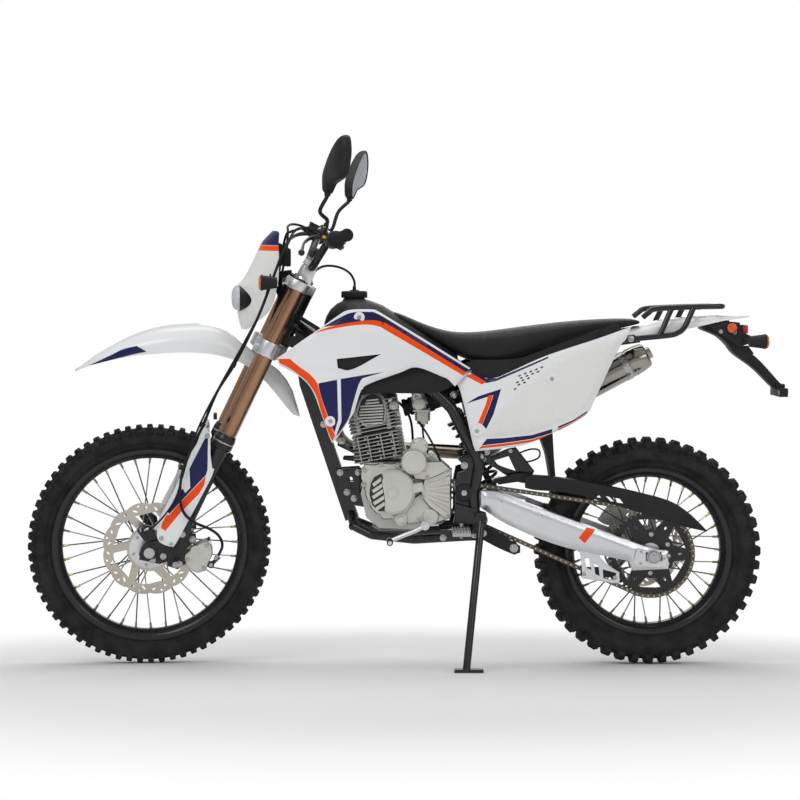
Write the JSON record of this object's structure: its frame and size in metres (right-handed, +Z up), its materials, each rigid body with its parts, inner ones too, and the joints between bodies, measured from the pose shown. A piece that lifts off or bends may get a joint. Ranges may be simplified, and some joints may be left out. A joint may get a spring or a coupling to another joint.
{
  "type": "dual sport motorcycle",
  "caption": "Single-cylinder dual sport motorcycle with wire wheels and knobbly tyres, leaning on its side stand.",
  "frame": {"origin": "centre of the parked footprint on the floor", "axes": "+X to the rear, -Y the side it leans to (its left), +Z up from the floor"},
  "size_m": [2.171, 0.916, 1.5659],
  "materials": {
    "painted_frame": "satin black powder coat on the frame, subframe, rack and stand",
    "cast_engine": "cast aluminium alloy, warm silver paint",
    "bare_alloy": "machined and brushed aluminium alloy",
    "bronze_anodised": "bronze anodised fork tubes",
    "black_alloy": "black anodised alloy",
    "steel": "bright steel",
    "white_plastic": "gloss white moulded plastic with orange and navy stripes",
    "black_plastic": "grained black moulded plastic",
    "seat_cover": "black grained seat cover",
    "tyre_rubber": "black knobbly tyre rubber",
    "soft_rubber": "black rubber",
    "lamp_lens": "clear lamp lens",
    "red_lens": "red and amber lamp lenses"
  },
  "bodies": {
    "chassis": {"main_frame": "painted_frame", "subframe": "painted_frame", "swingarm": "bare_alloy", "front_sprocket": "steel", "pivot_bolt": "steel", "rear_axle": "steel", "shock_absorber": "painted_frame", "crankcase": "cast_engine", "engine_covers": "cast_engine", "cylinder": "cast_engine", "cylinder_head": "cast_engine", "carburettor": "cast_engine", "airbox": "black_plastic", "exhaust_header": "painted_frame", "silencer": "bare_alloy", "fuel_tank": "black_plastic", "fuel_cap": "black_plastic", "seat": "seat_cover", "shrouds": "white_plastic", "side_panels": "white_plastic", "rear_fender": "white_plastic", "rear_rack": "painted_frame", "plate_holder": "black_plastic", "tail_lamps": "red_lens", "chain": "steel", "chain_guard": "black_plastic", "chain_guides": "white_plastic", "rear_caliper": "cast_engine", "footpegs": "painted_frame", "foot_controls": "steel", "control_cables": "soft_rubber", "vent_hose": "soft_rubber", "stand_bracket": "painted_frame"},
    "steering": {"fork_tubes": "bronze_anodised", "fork_sliders": "black_alloy", "front_axle": "steel", "triple_clamps": "bare_alloy", "handlebar": "black_alloy", "left_grip": "soft_rubber", "right_grip": "soft_rubber", "hand_controls": "black_alloy", "mirrors": "black_plastic", "front_fender": "white_plastic", "headlight_mask": "white_plastic", "headlight": "lamp_lens", "instrument": "black_plastic", "front_indicators": "black_plastic", "fork_guards": "white_plastic", "front_caliper": "cast_engine", "brake_hose": "soft_rubber"},
    "front_wheel": {"front_tyre": "tyre_rubber", "front_rim": "black_alloy", "front_hub": "black_alloy", "front_disc": "steel"},
    "rear_wheel": {"rear_tyre": "tyre_rubber", "rear_rim": "black_alloy", "rear_hub": "bare_alloy", "rear_disc": "steel", "rear_sprocket": "black_alloy"},
    "side_stand_leg": {"side_stand": "painted_frame"}
  },
  "joints": [
    {"name": "steering", "type": "hinge", "parent": "chassis", "child": "steering", "pos_m": [-0.33783, 0.0748, 0.98579], "axis": [0.4298, -0.1257, 0.8942], "range_deg": [-50, 34], "deforming": ["control_cables"]},
    {"name": "front_wheel_spin", "type": "hinge", "parent": "steering", "child": "front_wheel", "pos_m": [-0.74135, 0.15336, 0.34082], "axis": [-0.1257, 0.9723, 0.197], "continuous": true},
    {"name": "rear_wheel_spin", "type": "hinge", "parent": "chassis", "child": "rear_wheel", "pos_m": [0.69091, 0.16778, 0.3242], "axis": [0, 0.9903, 0.1392], "continuous": true},
    {"name": "side_stand", "type": "hinge", "parent": "chassis", "child": "side_stand_leg", "pos_m": [0.20583, 0.00532, 0.40952], "axis": [-0.1376, -0.9628, 0.2324], "range_deg": [0, 107]}
  ]
}
